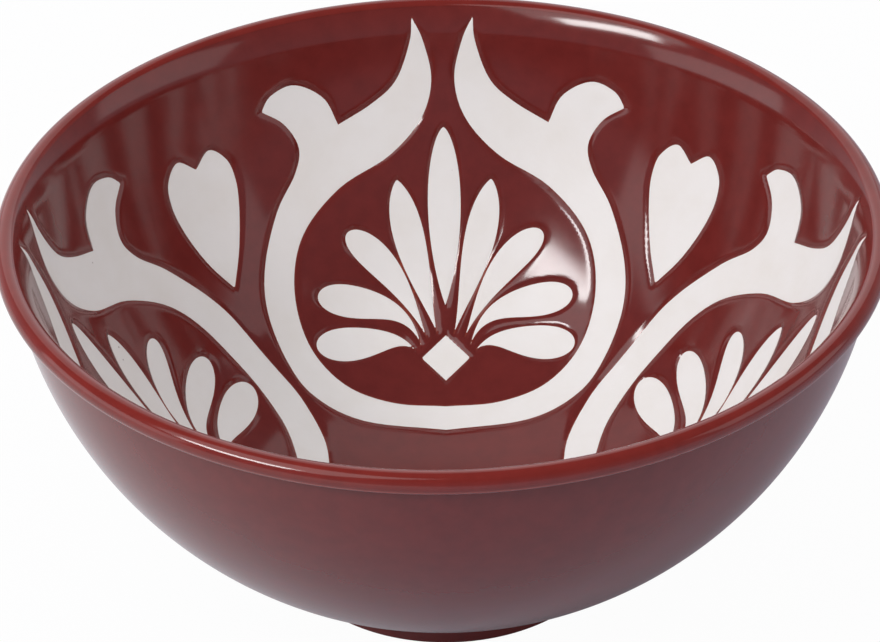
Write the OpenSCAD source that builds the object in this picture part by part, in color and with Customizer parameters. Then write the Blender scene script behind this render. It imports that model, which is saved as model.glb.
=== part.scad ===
// Footed ceramic bowl: clay body, red-brown glaze coats and white slip figures.
// Millimetres, +Z up, origin at the centre of the circle that the foot rests on.

/* [Bowl] */
// Diameter over the lip
rim_d = 160; // [150:1:175]
// Height from the table to the top of the lip
bowl_h = 75; // [70:1:82]
// Thickness of the rolled lip
lip_d = 4; // [3.6:0.1:4.6]
// Radius of the curve of the outside wall
outer_r = 80; // [74:1:92]
// Radius of the curve of the inside wall
inner_r = 120; // [105:1:140]
// How far the outside wall stands in from the edge of the lip
lip_step = 2.3; // [2:0.1:2.8]
// Thickness of the wall half way up
wall_t = 4.6; // [4:0.1:6]
// Radius of the flare by which the inside wall opens out into the lip
flare_r = 14; // [11:1:18]
// Lean of the inside, back from upright, where the flare meets the lip
flare_lean = 38; // [34:1:44]

/* [Floor] */
// Thickness of the floor at its centre, over the foot well
floor_t = 5.6; // [5:0.1:7]
// Radius of the shallow dish of the floor
floor_r = 150; // [120:5:220]
// Radius of the curve that joins the floor to the wall
knuckle_r = 40; // [34:1:46]

/* [Foot] */
// Diameter of the foot ring
foot_d = 62.8; // [58:0.2:68]
// Height of the foot below the wall
foot_h = 6.6; // [5.4:0.1:7.6]
// Width of the foot ring
foot_w = 4.6; // [3.5:0.1:6]
// Depth of the foot well
well_h = 3.5; // [2.5:0.1:4]
// Bevel on the outer bearing edge of the foot
foot_bevel = 0.4; // [0.3:0.1:0.5]
// Height of the bare clay edge that the glaze leaves free
bare_h = 0.6; // [0.6:0.1:1.6]

/* [Glaze] */
// Thickness of the red-brown glaze
glaze_t = 0.6; // [0.4:0.05:0.9]
// How much thinner the glaze is over the lip
lip_thin = 0.15; // [0.1:0.05:0.2]
// Height of the white slip figures above the clay
slip_t = 0.3; // [0.25:0.05:0.4]
// Clearance between a slip figure and the clay under it
slip_bed = 0.06; // [0.05:0.01:0.1]

/* [Figures] */
// Tilt of the plane that the figures are drawn on
figure_tilt = 55; // [52:1:58]
// How far below the top of the lip that plane meets the bowl's axis
figure_drop = 2.4; // [2:0.1:3]
// Lean of the hearts, to the left and to the right by turns
heart_lean = 4; // [0:1:8]
// Half width of the lozenge
lozenge_w = 4.8; // [3.8:0.1:4.9]
// Half height of the lozenge
lozenge_h = 4.5; // [3.5:0.1:4.7]
// Conical bands of the flare
flare_bands = 3; // [2:1:6]
// Conical bands of the inside wall
wall_bands = 8; // [5:1:16]
// Conical bands of the knuckle
knuckle_bands = 4; // [3:1:8]
// Conical bands of the floor
floor_bands = 3; // [2:1:6]
// Straight steps on each stretch of a drawn curve
curve_steps = 2; // [2:1:4]
// Straight steps along each side of a frond
frond_steps = 8; // [6:1:12]

/* [Hidden] */
$fn = 240;
// Units of the pattern round the wall, each a frame with its palmette and lozenge
UNITS = 4;
unit_turn = 360 / UNITS;
glaze_colour = "#6e2a26";
lip_colour = "#8a3227";
slip_colour = "#e6e1dc";
clay_colour = "#d9cfc2";

// Reference points of the section, as [radius, height]
rim_r = rim_d / 2;
lip_r = lip_d / 2;
lip_c = [rim_r - lip_r, bowl_h - lip_r];
foot_r = foot_d / 2;
well_r = foot_r - foot_w;
floor_z = well_h + floor_t;
neck = [rim_r - lip_step, lip_c[1]];
figure_z = bowl_h - figure_drop;
foot_top = [foot_r, foot_h];
// Size of cutting shapes that run past the whole bowl, and how far a cutting line overshoots its point
reach = 2 * rim_r;
overshoot = 3;
// Share of the mouth's radius at which a figure's outline starts out towards the wall
before_share = 0.64;
// Share of the mouth's radius that a frame's hooks reach out to
hook_share = 0.4724;
// Gap between the horns and the lip, and drop of the band below the knuckle, on the plane of the figures
horn_gap = 1.56;
band_drop = 1.75;

// Where two circles cross: the point to the left of the way from a to b
function crossing(a, ra, b, rb) =
    let (gap = norm(b - a),
         along = (ra * ra - rb * rb + gap * gap) / (2 * gap),
         aside = sqrt(ra * ra - along * along),
         way = (b - a) / gap)
    a + along * way + aside * [-way[1], way[0]];

// Centre of the outside wall, whose arc runs from the neck to the foot
outer_c = crossing(foot_top, outer_r, neck, outer_r);
// The flare runs on from the lip without a break
flare_way = [-cos(flare_lean), sin(flare_lean)];
lip_touch = lip_c + lip_r * flare_way;
flare_c = lip_touch - flare_r * flare_way;
// The inside wall touches the flare and stands wall_t inside the middle of the outside wall
half_way = (foot_top + neck) / 2 - outer_c;
wall_middle = outer_c + (outer_r - wall_t) * half_way / norm(half_way);
inner_c = crossing(wall_middle, inner_r, flare_c, inner_r + flare_r);
wall_top = inner_c + inner_r * (flare_c - inner_c) / norm(flare_c - inner_c);
// The floor is a shallow dish, and the knuckle touches both floor and wall
floor_c = [0, floor_z + floor_r];
knuckle_c = crossing(floor_c, floor_r - knuckle_r, inner_c, inner_r - knuckle_r);
knuckle_wall = inner_c + inner_r * (knuckle_c - inner_c) / norm(knuckle_c - inner_c);
knuckle_floor = floor_c + floor_r * (knuckle_c - floor_c) / norm(knuckle_c - floor_c);

// Right half of the frame, from the foot of its inner edge round the horn and hook and back
frame_inside = [[0, -34.3], [10.5, -33.5], [20, -29.8], [27, -22], [30, -11], [28.3, 0], [21, 9.5],
                [11, 16], [4.5, 23.3], [2.3, 31], [3.9, 38.3], [5.8, 42]];
frame_horn = [[5.8, 42], [6.4, 38], [9.3, 31], [14, 26.5], [21, 22.1]];
frame_hook = [[21, 22.1], [23.8, 27.3], [29.4, 29.7], [34, 27.5], [35.9, 24.3]];
frame_outside = [[35.9, 24.3], [31.6, 22], [28.8, 17.5], [29.6, 12.3], [33.2, 4.7], [35.6, -6],
                 [35.1, -15.3], [31.3, -25], [25.8, -32], [16, -36.9], [0, -38.8]];

// Right half of the heart, from the notch round the lobe to the point
heart_half = [[0, 24], [4, 26.6], [7.4, 23.5], [8.1, 19.3], [7.4, 15], [5.7, 10], [3.4, 5], [0, -0.4]];

// Fronds of a palmette: root, two bends, tip, half width, and how its flanks taper to root and tip
FRONDS = [[[0, -14], [0, -2.1], [0, 9.7], [0, 21.6], 3.3, 0.9, 0.65],
          [[1.7, -19.7], [5.2, -8.4], [8, 1.9], [9.5, 11.2], 3.1, 1.4, 0.8],
          [[3.9, -20.4], [7.4, -11.8], [12.2, -4.6], [19.6, 0.5], 3, 1.45, 0.5],
          [[4.9, -22.2], [8, -12.4], [17, -14.6], [25.3, -11.6], 3.25, 1.55, 0.5],
          [[6, -23.1], [10.5, -18.8], [17, -23.2], [25.6, -21.3], 3.35, 1.5, 0.5]];
LOZENGE = [0, -24.7];

// Figures are stretched to the wall: the hooks of a frame reach out to a share of the mouth's radius, its
// horns end a gap below the lip, and its band lies a drop below the line between knuckle and floor
mouth_r = rim_r - lip_d;
hook_tip = frame_hook[len(frame_hook) - 1];
horn_tip = frame_horn[0];
band_edge = frame_inside[0];
horns_at = mouth_r * cos(figure_tilt) - horn_gap;
band_at = knuckle_floor[0] * cos(figure_tilt) + (knuckle_floor[1] - figure_z) * sin(figure_tilt) - band_drop;
stretch = [mouth_r * hook_share / hook_tip[0], (horns_at - band_at) / (horn_tip[1] - band_edge[1])];
function on_wall(p) = [p[0] * stretch[0], horns_at + (p[1] - horn_tip[1]) * stretch[1]];

// Smooth curve through points, its tangents taken from the neighbours on both sides
function knot(p, i) =
    i < 0 ? 2 * p[0] - p[1] : i > len(p) - 1 ? 2 * p[len(p) - 1] - p[len(p) - 2] : p[i];
function smooth(p) =
    [for (i = [0 : len(p) - 2], s = [0 : curve_steps - 1])
        let (t = s / curve_steps,
             a = knot(p, i - 1), b = p[i], c = p[i + 1], d = knot(p, i + 2))
        b + t / 2 * (c - a) + t * t * (a - 2.5 * b + 2 * c - d / 2) + t * t * t / 2 * (3 * b - a - 3 * c + d)];

// A right half closed by its mirror image, given from one point on the axis to the other
function mirrored(half) =
    concat(half, [for (i = [len(half) - 1 : -1 : 0]) if (half[i][0] > 0) [-half[i][0], half[i][1]]]);

// Outline of a frond: half widths set off square to a bent centre line
function bend_at(f, u) =
    pow(1 - u, 3) * f[0] + 3 * u * pow(1 - u, 2) * f[1] + 3 * u * u * (1 - u) * f[2] + pow(u, 3) * f[3];
function slope_at(f, u) =
    pow(1 - u, 2) * (f[1] - f[0]) + 2 * u * (1 - u) * (f[2] - f[1]) + u * u * (f[3] - f[2]);
function width_at(f, u) =
    let (widest = f[5] / (f[5] + f[6]))
    f[4] * pow(u / widest, f[5]) * pow((1 - u) / (1 - widest), f[6]);
function side_at(f, u, side) =
    let (way = slope_at(f, u) / norm(slope_at(f, u)))
    bend_at(f, u) + side * width_at(f, u) * [-way[1], way[0]];
// Steps along a frond crowd towards its root and its tip
function step_at(i) = (1 - cos(180 * i / frond_steps)) / 2;
function frond(f) =
    concat([for (i = [0 : frond_steps]) side_at(f, step_at(i), -1)],
           [for (i = [frond_steps - 1 : -1 : 1]) side_at(f, step_at(i), 1)]);

// Sections

// Points along an arc about c, from point a to short of point b, moved out by off
function arc_points(c, a, b, off, steps) =
    let (start = atan2(a[1] - c[1], a[0] - c[0]),
         turn = atan2(b[1] - c[1], b[0] - c[0]) - start)
    [for (i = [0 : steps - 1])
        c + (norm(a - c) + off) * [cos(start + turn * i / steps), sin(start + turn * i / steps)]];

// Inside of the bowl, shrunk by off all round: flare, wall, knuckle and floor, in conical bands
module cavity(off) {
    polygon(concat(arc_points(flare_c, lip_touch, wall_top, off, flare_bands),
                   arc_points(inner_c, wall_top, knuckle_wall, -off, wall_bands),
                   arc_points(knuckle_c, knuckle_wall, knuckle_floor, -off, knuckle_bands),
                   arc_points(floor_c, knuckle_floor, [0, floor_z], -off, floor_bands),
                   [[0, floor_z + off], [0, reach], [lip_touch[0], reach]]));
}

// Everything below the line on which the flare meets the lip
module below_lip() {
    polygon([[0, 0], [reach, 0], lip_c + [reach, 0], lip_c,
             lip_c + overshoot * (lip_touch - lip_c), [0, lip_touch[1]]]);
}

// Outside of the bowl without its lip, grown by off all round, cut flat at the table
module outline(off) {
    intersection() {
        union() {
            translate(outer_c) circle(outer_r + off);
            polygon([[0, 0], [foot_r + off - foot_bevel, 0], [foot_r + off, foot_bevel],
                     [foot_r + off, foot_h], [0, foot_h]]);
        }
        below_lip();
    }
}

// Rolled lip
module lip(off) {
    translate(lip_c) circle(lip_r + off);
}

// Clay under its glaze
module clay_section() {
    difference() {
        outline(-glaze_t);
        cavity(-glaze_t);
        square([well_r, well_h + glaze_t]);
    }
    lip(lip_thin - glaze_t);
}

// Coat on the outside, from the crease under the lip to the bare edge of the foot
module outside_section() {
    difference() {
        outline(0);
        outline(-glaze_t);
        lip(0);
        square([reach, bare_h]);
    }
}

// Coat over the lip, from the flare to the crease
module lip_section() {
    difference() {
        lip(0);
        lip(lip_thin - glaze_t);
        outline(0);
    }
}

// Coat on the inside, below the lip
module inside_section() {
    intersection() {
        difference() {
            cavity(-glaze_t);
            cavity(0);
            lip(lip_thin - glaze_t);
        }
        below_lip();
    }
}

// Slip on the clay, before it is cut into figures
module slip_layer() {
    rotate_extrude() intersection() {
        difference() {
            cavity(slip_bed - glaze_t);
            cavity(slip_t - glaze_t);
        }
        below_lip();
    }
}

// Figures

// Carries an outline from its plane straight through the wall, at a turn about the axis
module on_unit(turn) {
    before_wall = mouth_r * before_share;
    translate([0, 0, figure_z]) rotate([0, 0, -turn]) rotate([figure_tilt, 0, 0])
        translate([0, 0, -mouth_r - before_wall]) linear_extrude(mouth_r) children();
}

module frame_cut(turn) {
    half = concat(smooth(frame_inside), smooth(frame_horn), smooth(frame_hook), smooth(frame_outside),
                  [frame_outside[len(frame_outside) - 1]]);
    on_unit(turn) polygon([for (p = mirrored(half)) on_wall(p)]);
}

module palmette_cut(turn) {
    for (f = FRONDS)
        for (side = f[0][0] == 0 ? [1] : [-1, 1])
            on_unit(turn) polygon([for (p = frond(f)) on_wall([side * p[0], p[1]])]);
}

module lozenge_cut(turn) {
    on_unit(turn) polygon([for (a = [0 : 90 : 270])
        on_wall(LOZENGE + [lozenge_w * cos(a), lozenge_h * sin(a)])]);
}

module heart_cut(turn, lean) {
    half = concat(smooth(heart_half), [heart_half[len(heart_half) - 1]]);
    middle = (heart_half[0] + heart_half[len(heart_half) - 1]) / 2;
    on_unit(turn) polygon([for (p = mirrored(half))
        let (q = p - middle)
        on_wall(middle + [q[0] * cos(lean) - q[1] * sin(lean), q[0] * sin(lean) + q[1] * cos(lean)])]);
}

function unit_at(k) = k * unit_turn;
function heart_at(k) = (k + 0.5) * unit_turn;
function lean_at(k) = k % 2 == 0 ? heart_lean : -heart_lean;

// Pieces

module clay_body() {
    color(clay_colour) rotate_extrude() clay_section();
}

module outside_glaze() {
    color(glaze_colour) rotate_extrude() outside_section();
}

module lip_glaze() {
    color(lip_colour) rotate_extrude() lip_section();
}

module foot_well_glaze() {
    color(glaze_colour) translate([0, 0, well_h]) cylinder(r = well_r, h = glaze_t);
}

module inside_glaze() {
    color(glaze_colour) difference() {
        rotate_extrude() inside_section();
        for (k = [0 : UNITS - 1]) {
            frame_cut(unit_at(k));
            palmette_cut(unit_at(k));
            lozenge_cut(unit_at(k));
            heart_cut(heart_at(k), lean_at(k));
        }
    }
}

module scroll_frame(k) {
    color(slip_colour) intersection() {
        slip_layer();
        frame_cut(unit_at(k));
    }
}

module palmette(k) {
    color(slip_colour) intersection() {
        slip_layer();
        palmette_cut(unit_at(k));
    }
}

module lozenge(k) {
    color(slip_colour) intersection() {
        slip_layer();
        lozenge_cut(unit_at(k));
    }
}

module heart(k) {
    color(slip_colour) intersection() {
        slip_layer();
        heart_cut(heart_at(k), lean_at(k));
    }
}

clay_body();
outside_glaze();
lip_glaze();
foot_well_glaze();
inside_glaze();
for (k = [0 : UNITS - 1]) {
    scroll_frame(k);
    palmette(k);
    lozenge(k);
    heart(k);
}
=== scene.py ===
"""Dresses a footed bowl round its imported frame: clay, red-brown glaze coats and white slip figures.

Every piece is laid on the bowl's section. The coats are turned surfaces, and the figures are drawn on a
plane that leans with the inside wall and are carried straight on to it.
"""
import math

import bpy
import numpy as np
from bpy.props import FloatProperty, FloatVectorProperty, PointerProperty
from bpy.types import Operator, Panel, PropertyGroup
from mathutils import Matrix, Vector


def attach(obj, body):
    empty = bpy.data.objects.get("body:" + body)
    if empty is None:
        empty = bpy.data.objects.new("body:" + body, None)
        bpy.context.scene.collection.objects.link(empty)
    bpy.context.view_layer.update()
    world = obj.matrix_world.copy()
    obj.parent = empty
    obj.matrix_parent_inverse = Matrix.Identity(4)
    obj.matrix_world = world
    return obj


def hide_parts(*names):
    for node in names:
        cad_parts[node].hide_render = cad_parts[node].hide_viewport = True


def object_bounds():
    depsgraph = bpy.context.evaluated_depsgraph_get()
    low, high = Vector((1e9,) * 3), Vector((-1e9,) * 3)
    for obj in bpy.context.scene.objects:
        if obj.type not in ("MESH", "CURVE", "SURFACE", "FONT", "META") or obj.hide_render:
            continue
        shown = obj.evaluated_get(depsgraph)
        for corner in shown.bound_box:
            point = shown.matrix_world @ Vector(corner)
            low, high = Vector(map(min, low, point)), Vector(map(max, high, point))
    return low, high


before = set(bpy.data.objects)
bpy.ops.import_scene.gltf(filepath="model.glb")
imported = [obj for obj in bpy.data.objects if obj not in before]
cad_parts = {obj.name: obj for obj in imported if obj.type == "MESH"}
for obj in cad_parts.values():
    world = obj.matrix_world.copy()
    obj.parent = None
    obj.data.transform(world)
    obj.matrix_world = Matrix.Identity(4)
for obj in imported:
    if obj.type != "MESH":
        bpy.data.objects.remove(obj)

bl_info = {
    "name": "Slip-decorated bowl",
    "version": (1, 0, 0),
    "blender": (4, 5, 0),
    "location": "View3D > Sidebar > Bowl",
    "description": "Makes the clay, glaze coats, slip figures and stage of a footed bowl",
    "category": "Add Mesh",
}

MM = 0.001
CAD_BOX = [list(corner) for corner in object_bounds()]

# Right half of a scroll frame in millimetres, from the foot of its inner edge round horn and hook and back
FRAME_INSIDE = [[0, -34.3], [10.5, -33.5], [20, -29.8], [27, -22], [30, -11], [28.3, 0], [21, 9.5],
                [11, 16], [4.5, 23.3], [2.3, 31], [3.9, 38.6], [6.1, 43.1]]
FRAME_HORN = [[6.1, 43.1], [6.5, 38.4], [9.3, 31], [14, 26.5], [21, 22.1]]
FRAME_HOOK = [[21, 22.1], [23.8, 27.3], [29.4, 29.7], [34, 27.5], [35.9, 24.3]]
FRAME_OUTSIDE = [[35.9, 24.3], [31.6, 22], [28.8, 17.5], [29.6, 12.3], [33.2, 4.7], [35.6, -6],
                 [35.1, -15.3], [31.3, -25], [25.8, -32], [16, -36.9], [0, -38.8]]
# Stretches of the inner and outer edge that lie below and above the neck, where horn and hook part
INSIDE_NECK = 6
OUTSIDE_NECK = 3

# Right half of a heart, from the notch round the lobe to the point
HEART_EDGE = [[0, 24], [4, 26.6], [7.4, 23.5], [8.1, 19.3], [7.4, 15], [5.7, 10], [3.4, 5], [0, -0.4]]

# Fronds of a palmette: root, two bends, tip, half width, and how the flanks taper to root and tip
FRONDS = [([0, -14], [0, -2.1], [0, 9.7], [0, 21.6], 3.3, 0.9, 0.65),
          ([1.7, -19.7], [5.2, -8.4], [8, 1.9], [9.5, 11.2], 3.1, 1.4, 0.8),
          ([3.9, -20.4], [7.4, -11.8], [12.2, -4.6], [19.6, 0.5], 3, 1.45, 0.5),
          ([4.9, -22.2], [8, -12.4], [17, -14.6], [25.3, -11.6], 3.25, 1.55, 0.5),
          ([6, -23.1], [10.5, -18.8], [17, -23.2], [25.6, -21.3], 3.35, 1.5, 0.5)]
LOZENGE_AT = [0, -24.7]

# Bands of thinner, more orange glaze over the lip, partly thin glaze and partly painted light where the lip
# catches the lamps: place along it, half width, and how far the depth drops, as shares
LIP_THIN_AND_LIT_BANDS = ((0.2, 0.12, 0.45), (0.7, 0.11, 0.9))

UNITS = 4
STEPS = 6
TURNED_SEGMENTS = 360
INSIDE_SEGMENTS = 640
# Points nearer to each other than this, in metres, are one point
MERGE = 1e-7


def length(name, millimetres, description):
    """A length property, given in millimetres."""
    return FloatProperty(name=name, description=description, default=millimetres * MM, min=0,
                         unit="LENGTH", precision=5)


def angle(name, degrees, description):
    """An angle property, given in degrees."""
    return FloatProperty(name=name, description=description, default=math.radians(degrees), subtype="ANGLE")


def colour(name, red, green, blue, description):
    """A colour property, as linear light."""
    return FloatVectorProperty(name=name, description=description, default=(red, green, blue), size=3,
                               min=0, max=1, subtype="COLOR")


class BowlSizes(PropertyGroup):
    """Sizes of the bowl's section, its coats and its figures."""

    rim_d: FloatProperty(name="Rim diameter", description="Diameter over the lip", unit="LENGTH",
                         default=CAD_BOX[1][0] - CAD_BOX[0][0])
    bowl_h: FloatProperty(name="Height", description="Height from the table to the top of the lip",
                          unit="LENGTH", default=CAD_BOX[1][2] - CAD_BOX[0][2])
    lip_d: length("Lip", 4, "Thickness of the rolled lip")
    lip_step: length("Lip step", 2.3, "How far the outside wall stands in from the edge of the lip")
    outer_r: length("Outside curve", 80, "Radius of the curve of the outside wall")
    inner_r: length("Inside curve", 120, "Radius of the curve of the inside wall")
    wall_t: length("Wall", 4.6, "Thickness of the wall half way up")
    flare_r: length("Flare", 14, "Radius of the flare by which the inside wall opens out into the lip")
    flare_lean: angle("Flare lean", 38, "Lean of the inside where the flare meets the lip")
    floor_t: length("Floor", 5.6, "Thickness of the floor at its centre")
    floor_r: length("Floor curve", 150, "Radius of the shallow dish of the floor")
    knuckle_r: length("Knuckle", 40, "Radius of the curve between floor and wall")
    foot_d: length("Foot diameter", 62.8, "Diameter of the foot ring")
    foot_h: length("Foot height", 6.6, "Height of the foot below the wall")
    foot_w: length("Foot width", 4.6, "Width of the foot ring")
    foot_bevel: length("Foot bevel", 0.4, "Bevel on the outer bearing edge of the foot")
    well_h: length("Foot well", 3.5, "Depth of the foot well")
    bare_h: length("Bare edge", 0.6, "Height of the clay that the glaze leaves bare")
    glaze_t: length("Glaze", 0.6, "Thickness of the glaze")
    slip_t: length("Slip", 0.3, "Thickness of the slip figures")
    pool_t: length("Pooled glaze", 0.56, "Thickness of the glaze where it swells between the figures")
    pool_reach: length("Swell", 0.9, "Distance over which the glaze swells up from a figure's edge")
    figure_tilt: angle("Figure tilt", 55, "Tilt of the plane of the figures")
    figure_drop: length("Figure drop", 2.4, "How far under the lip's top the figures' plane meets the axis")
    heart_lean: angle("Heart lean", 4, "Lean of the hearts, left and right by turns")
    lozenge_w: length("Lozenge width", 4.8, "Half width of the lozenge")
    lozenge_h: length("Lozenge height", 4.5, "Half height of the lozenge")


class BowlColours(PropertyGroup):
    """Colours of the bowl's finishes."""

    deep: colour("Deep glaze", 0.132, 0.0155, 0.0135, "Glaze where it lies thick")
    thin: colour("Thin glaze", 0.27, 0.052, 0.029, "Glaze where it thins out at an edge")
    lip: colour("Lip glaze", 0.155, 0.0145, 0.011, "Glaze over the lip")
    # The thin lip glaze colour is partly painted light: it fills the lip's bands where the lip catches the
    # lamps
    lip_thin_and_lit: colour("Thin lip glaze", 0.36, 0.05, 0.028, "Glaze where it thins out round the lip")
    slip: colour("Slip", 0.725, 0.70, 0.695, "White slip")
    stain: colour("Slip stain", 0.67, 0.63, 0.60, "Slip that the glaze has stained")
    clay: colour("Clay", 0.62, 0.53, 0.43, "Bare fired clay")
    floor: colour("Stage", 0.49, 0.48, 0.55, "Floor under the bowl")


def crossing(a, radius_a, b, radius_b):
    """Where two circles cross: the point to the left of the way from a to b."""
    way = b - a
    gap = np.hypot(*way)
    along = (radius_a ** 2 - radius_b ** 2 + gap ** 2) / (2 * gap)
    aside = math.sqrt(radius_a ** 2 - along ** 2)
    way = way / gap
    return a + along * way + aside * np.array([-way[1], way[0]])


def ray(slope):
    """Unit vector in the section at an angle from straight down, turning outwards."""
    return np.stack([np.sin(slope), -np.cos(slope)], -1)


def slope_from(centre, point):
    """Angle from straight down of the way from centre to point, turning outwards."""
    return math.atan2(point[0] - centre[0], centre[1] - point[1])


def arc(centre, radius, first, last, count):
    """Points along an arc of the section, between two angles from straight down."""
    return centre + radius * ray(np.linspace(first, last, count))


class Section:
    """The bowl's section as touching arcs, [radius, height] in metres, worked out from the sizes."""

    def __init__(self, sizes):
        self.sizes = sizes
        self.lip_r = sizes.lip_d / 2
        self.lip_c = np.array([sizes.rim_d / 2 - self.lip_r, sizes.bowl_h - self.lip_r])
        self.foot_r = sizes.foot_d / 2
        self.well_r = self.foot_r - sizes.foot_w
        neck = np.array([sizes.rim_d / 2 - sizes.lip_step, self.lip_c[1]])
        foot_top = np.array([self.foot_r, sizes.foot_h])
        self.outer_c = crossing(foot_top, sizes.outer_r, neck, sizes.outer_r)
        half_way = (foot_top + neck) / 2 - self.outer_c
        wall_middle = self.outer_c + (sizes.outer_r - sizes.wall_t) * half_way / np.hypot(*half_way)
        flare_way = np.array([-math.cos(sizes.flare_lean), math.sin(sizes.flare_lean)])
        flare_c = self.lip_c - (sizes.flare_r - self.lip_r) * flare_way
        inner_c = crossing(wall_middle, sizes.inner_r, flare_c, sizes.inner_r + sizes.flare_r)
        floor_c = np.array([0, sizes.well_h + sizes.floor_t + sizes.floor_r])
        knuckle_c = crossing(floor_c, sizes.floor_r - sizes.knuckle_r,
                             inner_c, sizes.inner_r - sizes.knuckle_r)
        self.centres = np.stack([floor_c, knuckle_c, inner_c, flare_c])
        self.radii = np.array([sizes.floor_r, sizes.knuckle_r, sizes.inner_r, -sizes.flare_r])
        self.lip_slope = math.pi / 2 - sizes.flare_lean
        self.bends = np.array([0, slope_from(floor_c, knuckle_c), slope_from(inner_c, knuckle_c),
                               slope_from(inner_c, flare_c), self.lip_slope])
        self.ends = np.cumsum(self.radii * np.diff(self.bends))

    def crease(self):
        """Where the outside wall meets the underside of the lip."""
        return crossing(self.lip_c, self.lip_r, self.outer_c, self.sizes.outer_r)

    def inside(self, run):
        """Point and normal of the inside at a distance from the centre of the floor along the section."""
        which = np.clip(np.searchsorted(self.ends, run), 0, 3)
        starts = np.concatenate([[0], self.ends[:-1]])
        slope = self.bends[which] + (run - starts[which]) / self.radii[which]
        way = ray(slope)
        return self.centres[which] + self.radii[which][..., None] * way, -way

    def beyond(self, place):
        """How far points, as [radius, height], lie outside the inside surface, and its normal there."""
        _, knuckle_c, inner_c, _ = self.centres
        low = np.arctan2(place[..., 0] - knuckle_c[0], knuckle_c[1] - place[..., 1])
        high = np.arctan2(place[..., 0] - inner_c[0], inner_c[1] - place[..., 1])
        which = (low > self.bends[1]).astype(int) + (low > self.bends[2]) + (high > self.bends[3])
        way = place - self.centres[which]
        reach = np.hypot(way[..., 0], way[..., 1])
        side = np.sign(self.radii[which])
        return side * reach - self.radii[which], -way * (side / reach)[..., None]


class Sketch:
    """The leaning plane that figures are drawn on, at a turn about the bowl's axis from +Y to +X."""

    def __init__(self, section, turn):
        self.section = section
        tilt = section.sizes.figure_tilt
        outward = np.array([math.sin(turn), math.cos(turn), 0])
        upright = np.array([0, 0, 1])
        self.centre = (section.sizes.bowl_h - section.sizes.figure_drop) * upright
        self.across = np.array([math.cos(turn), -math.sin(turn), 0])
        self.up = math.cos(tilt) * outward + math.sin(tilt) * upright
        self.away = math.sin(tilt) * outward - math.cos(tilt) * upright

    def flat(self, points):
        """Where points lie on the plane, looking straight at it, and how far behind it."""
        offset = points - self.centre
        return np.stack([offset @ self.across, offset @ self.up], -1), offset @ self.away

    def laid(self, flat, depth):
        """Carries points of the plane straight on to the surface at a depth under the inside."""
        base = self.centre + flat[..., :1] * self.across + flat[..., 1:] * self.up
        low = np.zeros(flat.shape[:-1])
        high = low + self.section.sizes.rim_d
        for _ in range(40):
            middle = (low + high) / 2
            past = self.section.beyond(rolled(base + middle[..., None] * self.away))[0] > depth
            high = np.where(past, middle, high)
            low = np.where(past, low, middle)
        points = base + high[..., None] * self.away
        normal = self.section.beyond(rolled(points))[1]
        azimuth = np.arctan2(points[..., 0], points[..., 1])
        return points, turned(normal, azimuth)


def rolled(points):
    """Points as [radius, height]."""
    return np.stack([np.hypot(points[..., 0], points[..., 1]), points[..., 2]], -1)


def turned(place, azimuth):
    """[radius, height] turned about the bowl's axis by an azimuth counted from +Y towards +X."""
    return np.stack([place[..., 0] * np.sin(azimuth), place[..., 0] * np.cos(azimuth),
                     place[..., 1] + 0 * azimuth], -1)


def azimuths(count):
    """Evenly spread azimuths round the bowl, the first repeated at the end."""
    return np.linspace(0, 2 * np.pi, count + 1)


def smooth(points, steps=STEPS):
    """Curve through points, in metres, whose tangents come from the neighbours on both sides."""
    p = np.array(points, float) * MM
    p = np.concatenate([[2 * p[0] - p[1]], p, [2 * p[-1] - p[-2]]])
    t = (np.arange(steps) / steps)[:, None]
    a, b, c, d = (p[i:len(p) - 3 + i, None] for i in range(4))
    run = b + t / 2 * (c - a) + t ** 2 * (a - 2.5 * b + 2 * c - d / 2) + t ** 3 / 2 * (3 * b - a - 3 * c + d)
    return np.concatenate([run.reshape(-1, 2), p[-2:-1]])


def spread(curve, count):
    """A curve sampled again at even distances along it."""
    run = np.concatenate([[0], np.cumsum(np.hypot(*np.diff(curve, axis=0).T))])
    even = np.linspace(0, run[-1], count)
    return np.stack([np.interp(even, run, curve[:, 0]), np.interp(even, run, curve[:, 1])], -1)


def ruled(left, right, columns):
    """Grid of straight lines between two edges that have equally many points."""
    share = np.linspace(0, 1, columns)[None, :, None]
    return left[:, None] * (1 - share) + right[:, None] * share


def flipped(grid):
    """Mirror image of a flat grid in the unit's axis, its columns reversed to keep its sense."""
    return grid[:, ::-1] * [-1, 1]


def closed_half(half):
    """Outline of a figure from its right half, which runs from one point on the axis to the other."""
    return np.concatenate([half, half[-2:0:-1] * [-1, 1]])


def frond_side(frond, side, along):
    """Flank of a frond: its bent centre line, with the half width set off square to it.

    The centre line runs from root to tip, drawn by two bends, and the half width grows from the root as a
    power of the way along and shrinks to the tip as a power of the way left.
    """
    root, first, second, tip = (np.array(p, float) * MM for p in frond[:4])
    half, grow, shrink = frond[4:]
    u = along[:, None]
    v = 1 - u
    middle = v ** 3 * root + 3 * u * v ** 2 * first + 3 * u ** 2 * v * second + u ** 3 * tip
    way = v ** 2 * (first - root) + 2 * u * v * (second - first) + u ** 2 * (tip - second)
    way = way / np.hypot(way[:, :1], way[:, 1:])
    widest = grow / (grow + shrink)
    width = half * MM * (u / widest) ** grow * ((1 - u) / (1 - widest)) ** shrink
    return middle + side * width * np.stack([way[:, 1], -way[:, 0]], -1)


def frond_shapes():
    """Outline and grids of each frond of a palmette, left ones as mirror images."""
    along = (1 - np.cos(np.linspace(0, np.pi, 40))) / 2
    shapes = []
    for frond in FRONDS:
        left, right = frond_side(frond, -1, along), frond_side(frond, 1, along)
        grid = ruled(left, right, 9)
        outline = np.concatenate([left, right[-2:0:-1]])
        shapes.append((outline, [grid]))
        if frond[0][0] > 0:
            shapes.append((outline * [-1, 1], [flipped(grid)]))
    return shapes


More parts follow.
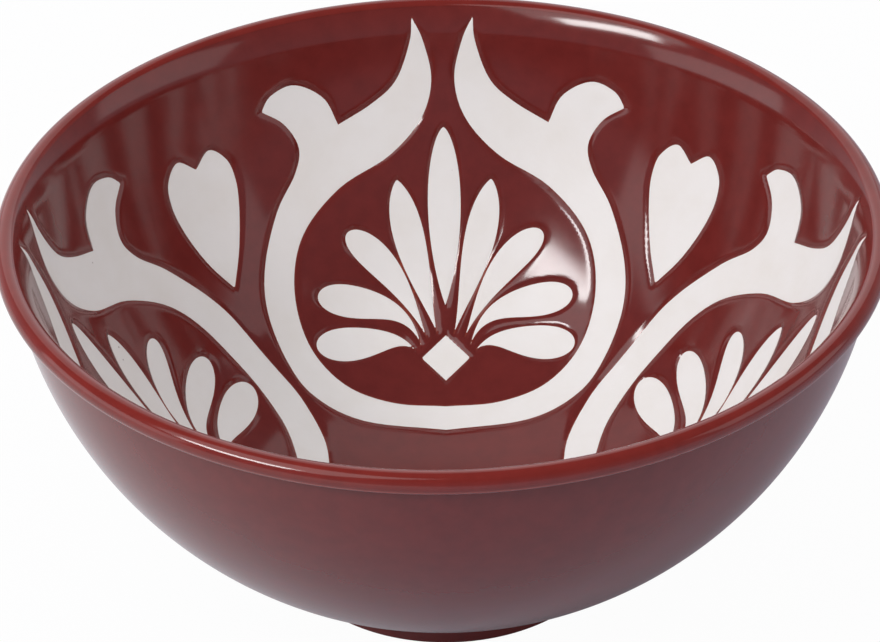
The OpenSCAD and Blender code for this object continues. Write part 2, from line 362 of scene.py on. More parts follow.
def frame_shape():
    """Outline and grids of a scroll frame: a band below the neck, then horn and hook, mirrored."""
    inside, outside = smooth(FRAME_INSIDE), smooth(FRAME_OUTSIDE)
    horn, hook = smooth(FRAME_HORN), smooth(FRAME_HOOK)
    outline = closed_half(np.concatenate([inside[:-1], horn[:-1], hook[:-1], outside]))
    neck_in, neck_out = INSIDE_NECK * STEPS, OUTSIDE_NECK * STEPS
    middle = (inside[neck_in] + outside[neck_out]) / 2
    seam = np.linspace(middle, horn[-1], 14)
    columns = 6
    band = ruled(spread(inside[:neck_in + 1], 80), spread(outside[neck_out:][::-1], 80), 2 * columns - 1)
    horn_edge = np.concatenate([seam, spread(horn[::-1], 30)[1:]])
    horn_grid = ruled(spread(inside[neck_in:], len(horn_edge)), horn_edge, columns)
    hook_edge = np.concatenate([seam, spread(hook, 24)[1:]])
    hook_grid = ruled(hook_edge, spread(outside[:neck_out + 1][::-1], len(hook_edge)), columns)
    half = [band, horn_grid, hook_grid]
    return outline, half + [flipped(grid) for grid in half]


def leaf_shape(edge, rows, columns):
    """Outline and grids of a figure ruled between its upright axis and its right edge, mirrored."""
    edge = spread(edge, rows)
    axis = np.linspace(edge[0], edge[-1], rows)
    grid = ruled(axis, edge, columns)
    return closed_half(edge), [grid, flipped(grid)]


def heart_shape(lean):
    """Outline and grids of a heart that leans about the middle of its axis."""
    outline, grids = leaf_shape(smooth(HEART_EDGE), 60, 9)
    middle = np.array([0, (HEART_EDGE[0][1] + HEART_EDGE[-1][1]) / 2 * MM])
    turn = np.array([[math.cos(lean), math.sin(lean)], [-math.sin(lean), math.cos(lean)]])
    return (outline - middle) @ turn + middle, [(grid - middle) @ turn + middle for grid in grids]


def lozenge_shape(sizes):
    """Outline and grids of the lozenge under a palmette."""
    corner = np.array([[0, sizes.lozenge_h], [sizes.lozenge_w, 0], [0, -sizes.lozenge_h]])
    upper, lower = np.linspace(corner[0], corner[1], 12), np.linspace(corner[1], corner[2], 12)
    edge = np.concatenate([upper, lower[1:]]) + np.array(LOZENGE_AT) * MM
    return leaf_shape(edge, len(edge), 7)


def unit_turn(k):
    """Azimuth of a unit of the pattern."""
    return 2 * math.pi * k / UNITS


def heart_turn(k):
    """Azimuth of the heart after a unit."""
    return unit_turn(k + 0.5)


def heart_lean(sizes, k):
    """Lean of a heart, to one side and to the other by turns."""
    return sizes.heart_lean if k % 2 == 0 else -sizes.heart_lean


def figure_outlines(section):
    """Every figure's plane and outline, all round the bowl."""
    sizes = section.sizes
    drawn = []
    for k in range(UNITS):
        unit = Sketch(section, unit_turn(k))
        for outline, _ in [frame_shape(), lozenge_shape(sizes)] + frond_shapes():
            drawn.append((unit, outline))
        drawn.append((Sketch(section, heart_turn(k)), heart_shape(heart_lean(sizes, k))[0]))
    return drawn


def signed_gap(points, outline):
    """Distance of flat points from an outline, below zero inside it, and the way straight out from it."""
    edge = np.roll(outline, -1, 0) - outline
    reach = np.maximum((edge ** 2).sum(1), 1e-18)
    gaps, ways = [np.zeros(0)], [np.zeros((0, 2))]
    for part in np.array_split(points, len(points) * len(outline) // 1_000_000 + 1):
        offset = part[:, None] - outline
        share = np.clip((offset * edge).sum(-1) / reach, 0, 1)
        miss = offset - share[..., None] * edge
        apart = (miss ** 2).sum(-1)
        near = apart.argmin(1)
        rows = np.arange(len(part))
        above = outline[:, 1] > part[:, 1:]
        with np.errstate(divide="ignore", invalid="ignore"):
            cut = outline[:, 0] - offset[..., 1] * -edge[:, 0] / edge[:, 1]
        passes = (above != np.roll(above, -1, 1)) & (part[:, :1] < cut)
        side = np.where(passes.sum(1) % 2 == 1, -1, 1)
        gap = np.sqrt(apart[rows, near])
        gaps.append(side * gap)
        ways.append(side[:, None] * miss[rows, near] / np.maximum(gap, 1e-9)[:, None])
    return np.concatenate(gaps), np.concatenate(ways)


def swell(points, section):
    """How full the glaze stands between the figures, and how that changes from place to place.

    It is the product over all figures of 1 - exp(-far - far squared), where far is the distance over the
    reach. It is 0 on an outline, below 0 inside it, where the square is left out, and 1 well away from
    every figure.
    """
    reach = section.sizes.pool_reach
    farthest, deepest = 6 * reach, -0.6 * reach
    full = np.ones(len(points))
    change = np.zeros((len(points), 3))
    for sketch, outline in figure_outlines(section):
        flat, depth = sketch.flat(points)
        low, high = outline.min(0) - farthest, outline.max(0) + farthest
        at = np.flatnonzero(((flat > low) & (flat < high)).all(1) & (depth > 0))
        gap, way = signed_gap(flat[at], outline)
        far = np.maximum(gap, deepest) / reach
        outside = np.maximum(far, 0)
        fall = np.exp(-far - outside ** 2)
        lift = 1 - fall
        out = way[:, :1] * sketch.across + way[:, 1:] * sketch.up
        slope = (fall * (1 + 2 * outside) / reach)[:, None] * out
        change[at] = change[at] * lift[:, None] + full[at, None] * slope
        full[at] *= lift
    return full, change


def grid_quads(rows, columns):
    """Faces of a grid of points, row by row."""
    at = np.arange(rows * columns).reshape(rows, columns)
    return np.stack([at[:-1, :-1], at[:-1, 1:], at[1:, 1:], at[1:, :-1]], -1).reshape(-1, 4)


def merged(points):
    """Numbers of the points to keep where some fall together, and which kept point each one becomes."""
    cells = np.round(points / MERGE).astype(np.int64)
    _, keep, same = np.unique(cells, axis=0, return_index=True, return_inverse=True)
    return keep, same.reshape(-1)


def welded(points, quads):
    """Merges points that fall together, and gives the kept points' numbers and the faces between them."""
    keep, same = merged(points)
    quads = same[quads]
    twin = quads == np.roll(quads, -1, 1)
    faces = quads[~twin.any(1)].tolist()
    for corner in range(4):
        others = [c for c in range(4) if c != corner]
        narrow = twin[:, corner] & (twin.sum(1) == 1)
        faces += quads[narrow][:, others].tolist()
    return keep, faces


def signed_volume(points, faces):
    """Volume inside a closed surface, below zero where its faces point inwards."""
    corners = np.array([face[:3] for face in faces] + [[f[0], f[2], f[3]] for f in faces if len(f) == 4])
    a, b, c = (points[corners[:, i]] for i in range(3))
    return (a * np.cross(b, c)).sum() / 6


def piece(name, points, quads, finish, nodes, normals=None, depth=None, crisp=math.radians(50)):
    """A closed piece from points and faces, welded, facing outwards, riding on the bowl."""
    keep, faces = welded(points, quads)
    points = points[keep]
    if signed_volume(points, faces) < 0:
        faces = [face[::-1] for face in faces]
    mesh = bpy.data.meshes.new(name)
    mesh.from_pydata(points.tolist(), [], faces)
    if mesh.validate():
        raise RuntimeError(f"{name} has faulty faces")
    mesh.shade_smooth()
    if normals is None:
        mesh.set_sharp_from_angle(angle=crisp)
    else:
        mesh.normals_split_custom_set_from_vertices(normals[keep].tolist())
    layer = mesh.attributes.new("depth", "FLOAT", "POINT")
    layer.data.foreach_set("value", np.ones(len(points)) if depth is None else depth[keep])
    mesh.materials.append(finish)
    made = bpy.data.objects.new(name, mesh)
    bpy.context.scene.collection.objects.link(made)
    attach(made, "root")
    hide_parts(*nodes)
    return made


def turned_grid(profile, segments=TURNED_SEGMENTS):
    """Points and faces of a profile, as [radius, height], turned about the bowl's axis."""
    around = azimuths(segments)
    points = turned(profile[:, None], around[None])
    return points.reshape(-1, 3), grid_quads(len(profile), len(around))


def looped(profile):
    """A profile closed on its first point."""
    return np.concatenate([profile, profile[:1]])


class Wire:
    """A socket of a shader on which sums are written as Python expressions."""

    def __init__(self, shader, socket):
        self.shader = shader
        self.socket = socket

    def __add__(self, other):
        return self.shader.sum("ADD", self, other)

    def __radd__(self, other):
        return self.shader.sum("ADD", other, self)

    def __sub__(self, other):
        return self.shader.sum("SUBTRACT", self, other)

    def __rsub__(self, other):
        return self.shader.sum("SUBTRACT", other, self)

    def __mul__(self, other):
        return self.shader.sum("MULTIPLY", self, other)

    def __rmul__(self, other):
        return self.shader.sum("MULTIPLY", other, self)


class Finish:
    """A material, or the surroundings, under construction: its nodes, and the shader that they feed."""

    def __init__(self, holder):
        self.holder = holder
        self.holder.use_nodes = True
        self.tree = holder.node_tree
        self.tree.nodes.clear()

    def node(self, kind, settings=None, sockets=None, out=0):
        """Adds a node: its settings first, a ramp's stops among them, then its sockets' values or links."""
        made = self.tree.nodes.new(kind)
        for key, value in (settings or {}).items():
            if key == "stops":
                while len(made.color_ramp.elements) < len(value):
                    made.color_ramp.elements.new(1)
                for element, (position, level) in zip(made.color_ramp.elements, value):
                    element.position = position
                    element.color = (level, level, level, 1)
            else:
                setattr(made, key, value)
        for key, value in (sockets or {}).items():
            if isinstance(value, Wire):
                self.tree.links.new(value.socket, made.inputs[key])
            else:
                made.inputs[key].default_value = value
        return Wire(self, made.outputs[out])

    def sum(self, operation, first, second):
        """A Math node on two values."""
        return self.node("ShaderNodeMath", {"operation": operation}, {0: first, 1: second})

    def mix(self, share, first, second):
        """A colour between two others."""
        return self.node("ShaderNodeMix", {"data_type": "RGBA"}, {0: share, 6: first, 7: second}, out=2)

    def ramp(self, value, *stops):
        """A value carried through a ramp of (position, level) stops."""
        return self.node("ShaderNodeValToRGB", {"stops": stops}, {0: value})

    def place(self):
        """Where a point is on the bowl."""
        return self.node("ShaderNodeTexCoord", out="Object")

    def attribute(self, name):
        """A value stored on the mesh."""
        return self.node("ShaderNodeAttribute", {"attribute_name": name}, out="Fac")

    def noise(self, scale, detail=2.0, roughness=0.5):
        """Cloudy noise from 0 to 1, scale per metre."""
        return self.node("ShaderNodeTexNoise", {},
                         {"Vector": self.place(), "Scale": scale, "Detail": detail, "Roughness": roughness})

    def dots(self, scale):
        """Distance from scattered points, in cells of a scale per metre."""
        return self.node("ShaderNodeTexVoronoi", {}, {"Vector": self.place(), "Scale": scale})

    def bump(self, height, distance):
        """A normal raised by a height from 0 to 1, over a distance in metres."""
        return self.node("ShaderNodeBump", {}, {"Height": height, "Distance": distance})

    def close(self, sockets):
        """Ends the material in a surface shader."""
        self.end(self.node("ShaderNodeBsdfPrincipled", {}, sockets))
        return self.holder

    def end(self, surface, kind="ShaderNodeOutputMaterial"):
        """Links a shader to the output."""
        output = self.tree.nodes.new(kind)
        self.tree.links.new(surface.socket, output.inputs["Surface"])


def rgba(value):
    """A colour property with full opacity."""
    return (*value, 1.0)


def glaze_finish(name, deep, thin):
    """Glossy glaze: deep where it lies thick, thin and orange at edges, with faint waves. On the lip the
    thin colour is partly painted light.
    """
    shade = Finish(bpy.data.materials.new(name))
    waves = shade.noise(38, 1, 0.4)
    mottle = shade.noise(260, 3, 0.6)
    # The depth attribute tells how thick the glaze lies; on the lip its bands are partly painted light
    depth = shade.attribute("depth") + 0.06 * (mottle - 0.5)
    thickness_and_lip_light = shade.ramp(depth, (0, 0), (0.10, 0.62), (0.32, 1))
    dark = tuple(0.86 * c for c in deep)
    body = shade.mix(shade.ramp(mottle, (0.35, 0), (0.7, 1)), rgba(dark), rgba(deep))
    body = shade.mix(thickness_and_lip_light, rgba(thin), body)
    return shade.close({"Base Color": body, "Roughness": 0.10 + 0.04 * mottle,
                        "Normal": shade.bump(waves, 0.00018), "IOR": 1.52})


def slip_finish(name, white, stain):
    """Satin white slip, faintly clouded, with a few specks."""
    shade = Finish(bpy.data.materials.new(name))
    cloud = shade.noise(90, 3, 0.6)
    grain = shade.noise(900, 3, 0.6)
    body = shade.mix(shade.ramp(cloud, (0.4, 0), (0.8, 0.6)), rgba(white), rgba(stain))
    rare = shade.ramp(shade.noise(70), (0.60, 0), (0.64, 1))
    speck = shade.ramp(shade.dots(280), (0.03, 1), (0.06, 0)) * rare
    body = shade.mix(speck, body, (0.10, 0.035, 0.025, 1))
    return shade.close({"Base Color": body, "Roughness": 0.42 + 0.10 * cloud,
                        "Normal": shade.bump(0.7 * cloud + 0.3 * grain, 0.00008), "IOR": 1.42})


def clay_finish(name, clay):
    """Matt fired clay with fine grog."""
    shade = Finish(bpy.data.materials.new(name))
    grain = shade.noise(700, 4, 0.7)
    dark = tuple(0.72 * c for c in clay)
    body = shade.mix(shade.ramp(grain, (0.35, 0), (0.65, 1)), rgba(dark), rgba(clay))
    return shade.close({"Base Color": body, "Roughness": 0.85, "Normal": shade.bump(grain, 0.0003)})


def glaze(context):
    """The glaze finish, made once."""
    colours = context.scene.bowl_colours
    made = bpy.data.materials.get("red_brown_glaze")
    return made or glaze_finish("red_brown_glaze", colours.deep, colours.thin)


def slip(context):
    """The slip finish, made once."""
    colours = context.scene.bowl_colours
    made = bpy.data.materials.get("white_slip")
    return made or slip_finish("white_slip", colours.slip, colours.stain)


def lip_run(section, off, count):
    """Arc over the lip from the inside wall to the crease, moved out by off."""
    first = section.lip_slope
    last = slope_from(section.lip_c, section.crease()) - math.pi
    return section.lip_c - (section.lip_r + off) * ray(np.linspace(first, last, count))


def outside_run(section, off, count):
    """Arc of the outside wall from the crease down to the fillet over the foot, moved out by off."""
    return arc(section.outer_c, section.sizes.outer_r + off, crease_fillet(section)[1],
               foot_fillet(section)[1], count)


def crease_fillet(section, radius=1.0 * MM):
    """Arc in the crease under the lip, touching the lip and the outside wall."""
    centre = crossing(section.lip_c, section.lip_r + radius,
                      section.outer_c, section.sizes.outer_r + radius)
    first = slope_from(section.lip_c, centre)
    last = slope_from(section.outer_c, centre)
    return arc(centre, -radius, first, last, 14), last


def foot_fillet(section, radius=1.2 * MM):
    """Centre of the fillet between outside wall and foot, its slope on the wall, and its radius."""
    reach = section.sizes.outer_r + radius
    along = section.foot_r + radius - section.outer_c[0]
    centre = np.array([section.foot_r + radius, section.outer_c[1] - math.sqrt(reach ** 2 - along ** 2)])
    return centre, slope_from(section.outer_c, centre), radius


class BOWL_OT_clay_body(Operator):
    """Turn the clay body from its section, under its glaze"""

    bl_idname = "bowl.clay_body"
    bl_label = "Clay body"

    def execute(self, context):
        sizes = context.scene.bowl_sizes
        section = Section(sizes)
        glaze_t = sizes.glaze_t
        foot_r = section.foot_r - glaze_t
        edge = 0.35 * MM
        well_top = sizes.well_h + glaze_t
        foot = np.array([[0, well_top], [section.well_r, well_top],
                         [section.well_r, edge], [section.well_r + edge, 0],
                         [foot_r - sizes.foot_bevel, 0], [foot_r, sizes.foot_bevel],
                         [foot_r, sizes.foot_h]])
        outside = outside_run(section, -glaze_t, 48)[::-1]
        lip = lip_run(section, -glaze_t, 40)[::-1]
        place, normal = section.inside(np.linspace(section.ends[-1], 0, 90)[1:])
        inside = place - glaze_t * normal
        points, quads = turned_grid(np.concatenate([foot, outside, lip, inside]))
        clay = clay_finish("fired_clay", context.scene.bowl_colours.clay)
        piece("bowl_clay", points, quads, clay, ["clay_body"])
        return {"FINISHED"}


class BOWL_OT_outside_coat(Operator):
    """Lay the glaze on the outside, from the crease under the lip to the bare edge of the foot"""

    bl_idname = "bowl.outside_coat"
    bl_label = "Outside coat"

    def execute(self, context):
        sizes = context.scene.bowl_sizes
        section = Section(sizes)
        centre, slope, radius = foot_fillet(section)
        bead = 0.3 * MM
        fillet = arc(centre, -radius, slope, math.pi / 2, 16)
        side = np.array([[section.foot_r, (sizes.foot_h + sizes.bare_h) / 2]])
        end = arc(np.array([section.foot_r - bead, sizes.bare_h + bead]), bead, math.pi / 2, 0, 8)
        inner_foot = np.array([[section.foot_r - sizes.glaze_t, sizes.bare_h],
                               [section.foot_r - sizes.glaze_t, sizes.foot_h]])
        crease, _ = crease_fillet(section)
        skin = np.concatenate([crease[:-1], outside_run(section, 0, 120), fillet[1:], side, end])
        under = np.concatenate([inner_foot, outside_run(section, -sizes.glaze_t, 40)[::-1]])
        points, quads = turned_grid(looped(np.concatenate([skin, under])))
        piece("outside_coat", points, quads, glaze(context), ["outside_glaze"])
        return {"FINISHED"}


class BOWL_OT_lip_coat(Operator):
    """Lay the thinner, redder glaze over the lip, its lighter orange bands partly painted light"""

    bl_idname = "bowl.lip_coat"
    bl_label = "Lip coat"

    def execute(self, context):
        sizes = context.scene.bowl_sizes
        colours = context.scene.bowl_colours
        section = Section(sizes)
        count = 72
        skin = lip_run(section, 0, count)
        under = lip_run(section, -sizes.glaze_t, count)[::-1]
        points, quads = turned_grid(looped(np.concatenate([skin, under])))
        share = np.linspace(0, 1, count)
        # The depth drops in bands, turning the lip to the thin lip glaze colour; partly painted light where
        # the lip catches the lamps
        lit_thinning = sum(most * np.exp(-((share - at) / half) ** 2) for at, half, most in LIP_THIN_AND_LIT_BANDS)
        depth = np.repeat(looped(np.concatenate([1 - lit_thinning, np.ones(count)])), TURNED_SEGMENTS + 1)
        way = np.concatenate([skin - section.lip_c, section.lip_c - under])
        way = looped(way / np.hypot(way[:, :1], way[:, 1:]))
        normals, _ = turned_grid(way)
        finish = glaze_finish("lip_glaze_finish", colours.lip, colours.lip_thin_and_lit)
        piece("lip_coat", points, quads, finish, ["lip_glaze"], normals=normals, depth=depth)
        return {"FINISHED"}


class BOWL_OT_foot_well_coat(Operator):
    """Lay the glaze in the foot well, with a swell of glaze in its corner"""

    bl_idname = "bowl.foot_well_coat"
    bl_label = "Foot well coat"

    def execute(self, context):
        sizes = context.scene.bowl_sizes
        section = Section(sizes)
        corner = 0.5 * MM
        ceiling = sizes.well_h
        swell_c = np.array([section.well_r - corner, ceiling - corner])
        skin = np.concatenate([np.linspace([0, ceiling], [section.well_r - corner, ceiling], 12)[:-1],
                               arc(swell_c, -corner, 0, -math.pi / 2, 8)])
        under = np.array([[section.well_r, ceiling + sizes.glaze_t], [0, ceiling + sizes.glaze_t]])
        points, quads = turned_grid(np.concatenate([skin, under]), 180)
        piece("foot_well_coat", points, quads, glaze(context), ["foot_well_glaze"])
        return {"FINISHED"}


class BOWL_OT_inside_coat(Operator):
    """Lay the glaze on the inside, swollen between the figures and thin along their edges"""

    bl_idname = "bowl.inside_coat"
    bl_label = "Inside coat"

    def execute(self, context):
        sizes = context.scene.bowl_sizes
        section = Section(sizes)
        around = azimuths(INSIDE_SEGMENTS)
        end = section.ends[-1]
        fine_from = 17 * MM
        calm = 5 * MM
        thinnest = 0.02 * MM
        edge_drop = 0.08 * MM
        runs = np.concatenate([np.linspace(0, fine_from, 8)[:-1], np.linspace(fine_from, end, 134)])
        place, slope = section.inside(runs)
        clay = turned((place - sizes.glaze_t * slope)[:, None], around[None])
        normal = turned(slope[:, None], around[None])
        full, change = swell(clay.reshape(-1, 3), section)
        full = full.reshape(clay.shape[:2])
        edge_t = sizes.slip_t - edge_drop
        rise = sizes.pool_t - edge_t
        settle = np.clip((end - runs) / calm, 0, 1)
        settle = (settle * settle * (3 - 2 * settle))[:, None]
        height = np.maximum(edge_t + rise * full, thinnest)
        height = settle * height + (1 - settle) * np.minimum(height, sizes.glaze_t)
        skin = clay + height[..., None] * normal
        tilt = rise * settle[..., None] * change.reshape(clay.shape)
        lean = normal - (tilt - (tilt * normal).sum(-1, keepdims=True) * normal)
        lean /= np.linalg.norm(lean, axis=-1, keepdims=True)
        place, slope = section.inside(np.linspace(end, 0, 14))
        under = turned((place - sizes.glaze_t * slope)[:, None], around[None])
        back = turned(-slope[:, None], around[None])
        points = np.concatenate([skin, under])
        normals = np.concatenate([lean, back]).reshape(-1, 3)
        depth = np.concatenate([np.clip(full, 0, 1), np.ones(under.shape[:2])]).reshape(-1)
        quads = grid_quads(len(points), len(around))
        piece("inside_coat", points.reshape(-1, 3), quads, glaze(context), ["inside_glaze"],
              normals=normals, depth=depth)
        return {"FINISHED"}


def slab(section, turn, shapes):
    """Points and faces of flat figures laid on the clay as slabs with softened edges.

    Each figure's top stands slip_t above the clay and falls away towards its outline. A wall drops from
    every open edge of the top, and the foot of the slab is the top's grid laid on the clay.
    """
    edge_fall, edge_width = 0.05 * MM, 0.35 * MM
    sizes = section.sizes
    sketch = Sketch(section, turn)
    parts, faces, total = [], [], 0
    for outline, grids in shapes:
        flat = np.concatenate([grid.reshape(-1, 2) for grid in grids])
        starts = np.cumsum([0] + [grid.shape[0] * grid.shape[1] for grid in grids])
        quads = np.concatenate([start + grid_quads(*grid.shape[:2]) for start, grid in zip(starts, grids)])
        keep, same = merged(flat)
        flat, quads = flat[keep], same[quads]
        clay, normal = sketch.laid(flat, sizes.glaze_t)
        inside = np.maximum(-signed_gap(flat, outline)[0], 0)
        height = sizes.slip_t - edge_fall * np.exp(-inside / edge_width)
        count = len(flat)
        parts += [clay + height[:, None] * normal, clay]
        edges = np.stack([quads, np.roll(quads, -1, 1)], -1).reshape(-1, 2)
        edges = edges[edges[:, 0] != edges[:, 1]]
        mark = edges[:, 0] * count + edges[:, 1]
        open_edges = edges[~np.isin(mark, edges[:, 1] * count + edges[:, 0])]
        wall = np.stack([open_edges[:, 1], open_edges[:, 0], open_edges[:, 0] + count,
                         open_edges[:, 1] + count], -1)
        faces += [total + np.concatenate([quads, quads[:, ::-1] + count, wall])]
        total += 2 * count
    return np.concatenate(parts), np.concatenate(faces)


class BOWL_OT_scroll_frames(Operator):
    """Lay the scroll frames on the clay, one round each palmette"""

    bl_idname = "bowl.scroll_frames"
    bl_label = "Scroll frames"

    def execute(self, context):
        section = Section(context.scene.bowl_sizes)
        for k in range(UNITS):
            points, quads = slab(section, unit_turn(k), [frame_shape()])
            piece(f"slip_frame_{k + 1}", points, quads, slip(context), [f"scroll_frame_{k + 1}"])
        return {"FINISHED"}


class BOWL_OT_palmettes(Operator):
    """Lay the palmettes on the clay, nine fronds each"""

    bl_idname = "bowl.palmettes"
    bl_label = "Palmettes"

    def execute(self, context):
        section = Section(context.scene.bowl_sizes)
        for k in range(UNITS):
            points, quads = slab(section, unit_turn(k), frond_shapes())
            piece(f"slip_palmette_{k + 1}", points, quads, slip(context), [f"palmette_{k + 1}"])
        return {"FINISHED"}


class BOWL_OT_lozenges(Operator):
    """Lay the lozenges on the clay, one under each palmette"""

    bl_idname = "bowl.lozenges"
    bl_label = "Lozenges"

    def execute(self, context):
        sizes = context.scene.bowl_sizes
        section = Section(sizes)
        for k in range(UNITS):
            points, quads = slab(section, unit_turn(k), [lozenge_shape(sizes)])
            piece(f"slip_lozenge_{k + 1}", points, quads, slip(context), [f"lozenge_{k + 1}"])
        return {"FINISHED"}


class BOWL_OT_hearts(Operator):
    """Lay the hearts on the clay, one between each pair of frames"""

    bl_idname = "bowl.hearts"
    bl_label = "Hearts"

    def execute(self, context):
        sizes = context.scene.bowl_sizes
        section = Section(sizes)
        for k in range(UNITS):
            points, quads = slab(section, heart_turn(k), [heart_shape(heart_lean(sizes, k))])
            piece(f"slip_heart_{k + 1}", points, quads, slip(context), [f"heart_{k + 1}"])
        return {"FINISHED"}


# Camera: pixels of focal length on the 880 pixel wide picture, elevation, distance, and how far it is
# turned away from the middle of the mouth
PICTURE_W = 880
FOCAL_PIXELS = 3300
SENSOR_W = 36
CAMERA_ELEVATION = math.radians(32.65)
CAMERA_AZIMUTH = math.radians(0.38)
CAMERA_DISTANCE = 0.592
CAMERA_YAW = math.radians(-0.07)
CAMERA_PITCH = math.radians(-1.735)
CAMERA_ROLL = math.radians(-0.87)


def aim(place, right, up, forward):
    """Matrix of a camera or lamp at a place, looking forward."""
    columns = np.eye(4)
    columns[:3, 0], columns[:3, 1], columns[:3, 2], columns[:3, 3] = right, up, -forward, place
    return Matrix(columns.tolist())


def camera_matrix(target):
    """Camera on a circle about the target, then turned by yaw, pitch and roll."""
    ground = np.array([-math.sin(CAMERA_AZIMUTH), math.cos(CAMERA_AZIMUTH), 0])
    upright = np.array([0, 0, 1])
    forward = math.cos(CAMERA_ELEVATION) * ground - math.sin(CAMERA_ELEVATION) * upright
    right = np.cross(ground, upright)
    up = np.cross(right, forward)
    place = target - CAMERA_DISTANCE * forward
    forward = forward * math.cos(CAMERA_YAW) + right * math.sin(CAMERA_YAW)
    right = np.cross(forward, up)
    forward = forward * math.cos(CAMERA_PITCH) + up * math.sin(CAMERA_PITCH)
    up = np.cross(right, forward)
    turned_right = right * math.cos(CAMERA_ROLL) + up * math.sin(CAMERA_ROLL)
    turned_up = up * math.cos(CAMERA_ROLL) - right * math.sin(CAMERA_ROLL)
    return aim(place, turned_right, turned_up, forward)


def softbox(name, way, distance, width, height, power):
    """A soft lamp in a direction from the bowl, facing it."""
    way = np.array(way, float) / np.linalg.norm(way)
    right = np.cross([0, 0, 1], way)
    right /= np.linalg.norm(right)
    lamp = bpy.data.lights.new(name, "AREA")
    lamp.shape = "RECTANGLE"
    lamp.size, lamp.size_y = width, height
    lamp.energy = power
    made = bpy.data.objects.new(name, lamp)
    made.matrix_world = aim(distance * way + [0, 0, 0.04], right, np.cross(way, right), -way)
    bpy.context.scene.collection.objects.link(made)
    return made


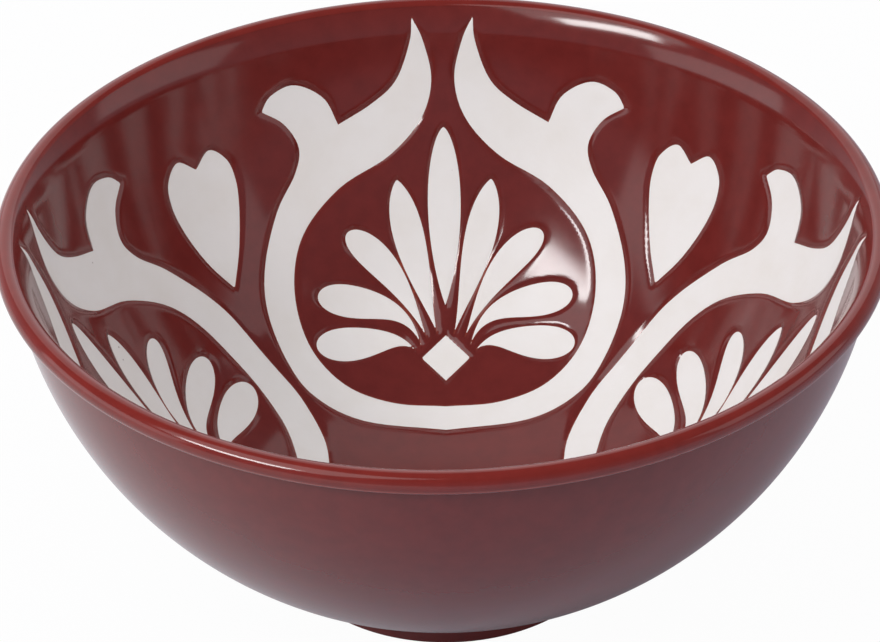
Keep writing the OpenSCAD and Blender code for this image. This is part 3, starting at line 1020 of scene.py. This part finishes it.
class BOWL_OT_stage(Operator):
    """Set the floor, the soft lamps, the surroundings and the camera"""

    bl_idname = "bowl.stage"
    bl_label = "Stage"

    def execute(self, context):
        scene = context.scene
        self.floor(scene)
        self.surroundings(scene)
        # Each lamp: direction from the bowl, distance, width and height in metres, power in watts
        softbox("key_softbox", (-0.624, -0.488, 0.610), 0.9, 0.38, 0.14, 3.1)
        softbox("key_halo", (-0.45, -0.35, 0.82), 0.95, 0.7, 0.62, 2.1)
        softbox("left_panel", (-0.95, -0.12, 0.22), 1.0, 0.8, 0.42, 1.3)
        softbox("right_panel", (0.93, -0.08, 0.40), 1.0, 0.75, 0.5, 0.9)
        softbox("back_softbox", (-0.1, 0.85, 0.6), 1.1, 1.2, 0.8, 2.2)
        lens = bpy.data.cameras.new("photo_camera")
        lens.sensor_width = SENSOR_W
        lens.lens = SENSOR_W * FOCAL_PIXELS / PICTURE_W
        lens.clip_start = 0.01
        camera = bpy.data.objects.new("photo_camera", lens)
        target = np.array([0, 0, scene.bowl_sizes.bowl_h - scene.bowl_sizes.figure_drop])
        camera.matrix_world = camera_matrix(target)
        scene.collection.objects.link(camera)
        scene.camera = camera
        scene.view_settings.view_transform = "Standard"
        return {"FINISHED"}

    def floor(self, scene):
        """A round floor, near white to the camera. Its left side glows in what the glaze mirrors, a painted
        reflection.
        """
        profile = np.array([[0, 0], [0.5, 0], [4, 0]])
        points, quads = turned_grid(profile, 64)
        keep, faces = welded(points, quads)
        mesh = bpy.data.meshes.new("floor")
        mesh.from_pydata(points[keep].tolist(), [], faces)
        shade = Finish(bpy.data.materials.new("pale_floor"))
        lit = shade.node("ShaderNodeBsdfDiffuse", {}, {"Color": rgba(scene.bowl_colours.floor)})
        glow = shade.node("ShaderNodeEmission", {}, {"Color": (1, 1, 1, 1), "Strength": 1.0})
        seen = shade.node("ShaderNodeLightPath", out="Is Camera Ray")
        mirrored = shade.node("ShaderNodeLightPath", out="Is Glossy Ray")
        across = shade.node("ShaderNodeSeparateXYZ", {}, {0: shade.place()}, out="X")
        # Painted reflection: glossy rays see the floor glow white on its left, fading to the lit floor on
        # the right
        reflected_glow = shade.ramp(0.5 + 2 * across, (0.20, 0.80), (0.36, 0.45), (0.5, 0.03), (0.7, 0))
        share = 0.97 * seen + reflected_glow * mirrored
        shade.end(shade.node("ShaderNodeMixShader", {}, {0: share, 1: lit, 2: glow}))
        mesh.materials.append(shade.holder)
        made = bpy.data.objects.new("floor", mesh)
        scene.collection.objects.link(made)

    def surroundings(self, scene):
        """A grey studio, white to the camera. The glaze mirrors it darker, but for a pale part behind."""
        scene.world = bpy.data.worlds.new("studio")
        shade = Finish(scene.world)
        seen = shade.node("ShaderNodeLightPath", out="Is Camera Ray")
        mirrored = shade.node("ShaderNodeLightPath", out="Is Glossy Ray")
        way = shade.node("ShaderNodeTexCoord", out="Generated")
        height = shade.node("ShaderNodeSeparateXYZ", {}, {0: way}, out="Z")
        behind = shade.ramp(shade.node("ShaderNodeSeparateXYZ", {}, {0: way}, out="Y"), (0.3, 0), (0.85, 1))
        rise = shade.ramp(height, (0.1, 0), (0.7, 1))
        soft = shade.mix(rise, (0.35, 0.35, 0.37, 1), (1.0, 1.0, 1.0, 1))
        mirror = shade.mix(rise, (0.32, 0.31, 0.35, 1), (0.10, 0.10, 0.11, 1))
        mirror = shade.mix(behind * (1 - rise), mirror, (0.85, 0.83, 0.88, 1))
        tone = shade.mix(mirrored, soft, mirror)
        tone = shade.mix(seen, tone, (1, 1, 1, 1))
        shade.end(shade.node("ShaderNodeBackground", {}, {"Color": tone, "Strength": 1.0}),
                  "ShaderNodeOutputWorld")


OPERATORS = (BOWL_OT_clay_body, BOWL_OT_outside_coat, BOWL_OT_lip_coat, BOWL_OT_foot_well_coat,
             BOWL_OT_inside_coat, BOWL_OT_scroll_frames, BOWL_OT_palmettes, BOWL_OT_lozenges,
             BOWL_OT_hearts, BOWL_OT_stage)


class VIEW3D_PT_bowl(Panel):
    """Lists the bowl's pieces, sizes and colours"""

    bl_label = "Bowl"
    bl_idname = "VIEW3D_PT_bowl"
    bl_space_type = "VIEW_3D"
    bl_region_type = "UI"
    bl_category = "Bowl"

    def draw(self, context):
        for maker in OPERATORS:
            self.layout.operator(maker.bl_idname)
        for group in (context.scene.bowl_sizes, context.scene.bowl_colours):
            box = self.layout.box()
            for key in group.__annotations__:
                box.prop(group, key)


CLASSES = (BowlSizes, BowlColours, *OPERATORS, VIEW3D_PT_bowl)


def register():
    """Registers the classes and the scene's sizes and colours."""
    for kind in CLASSES:
        bpy.utils.register_class(kind)
    bpy.types.Scene.bowl_sizes = PointerProperty(type=BowlSizes)
    bpy.types.Scene.bowl_colours = PointerProperty(type=BowlColours)


def unregister():
    """Takes the classes and the scene's sizes and colours away again."""
    del bpy.types.Scene.bowl_colours
    del bpy.types.Scene.bowl_sizes
    for kind in reversed(CLASSES):
        bpy.utils.unregister_class(kind)


def main():
    """Makes every piece and the stage."""
    register()
    bpy.ops.bowl.stage()
    bpy.ops.bowl.clay_body()
    bpy.ops.bowl.outside_coat()
    bpy.ops.bowl.lip_coat()
    bpy.ops.bowl.foot_well_coat()
    bpy.ops.bowl.inside_coat()
    bpy.ops.bowl.scroll_frames()
    bpy.ops.bowl.palmettes()
    bpy.ops.bowl.lozenges()
    bpy.ops.bowl.hearts()


if __name__ == "__main__":
    main()
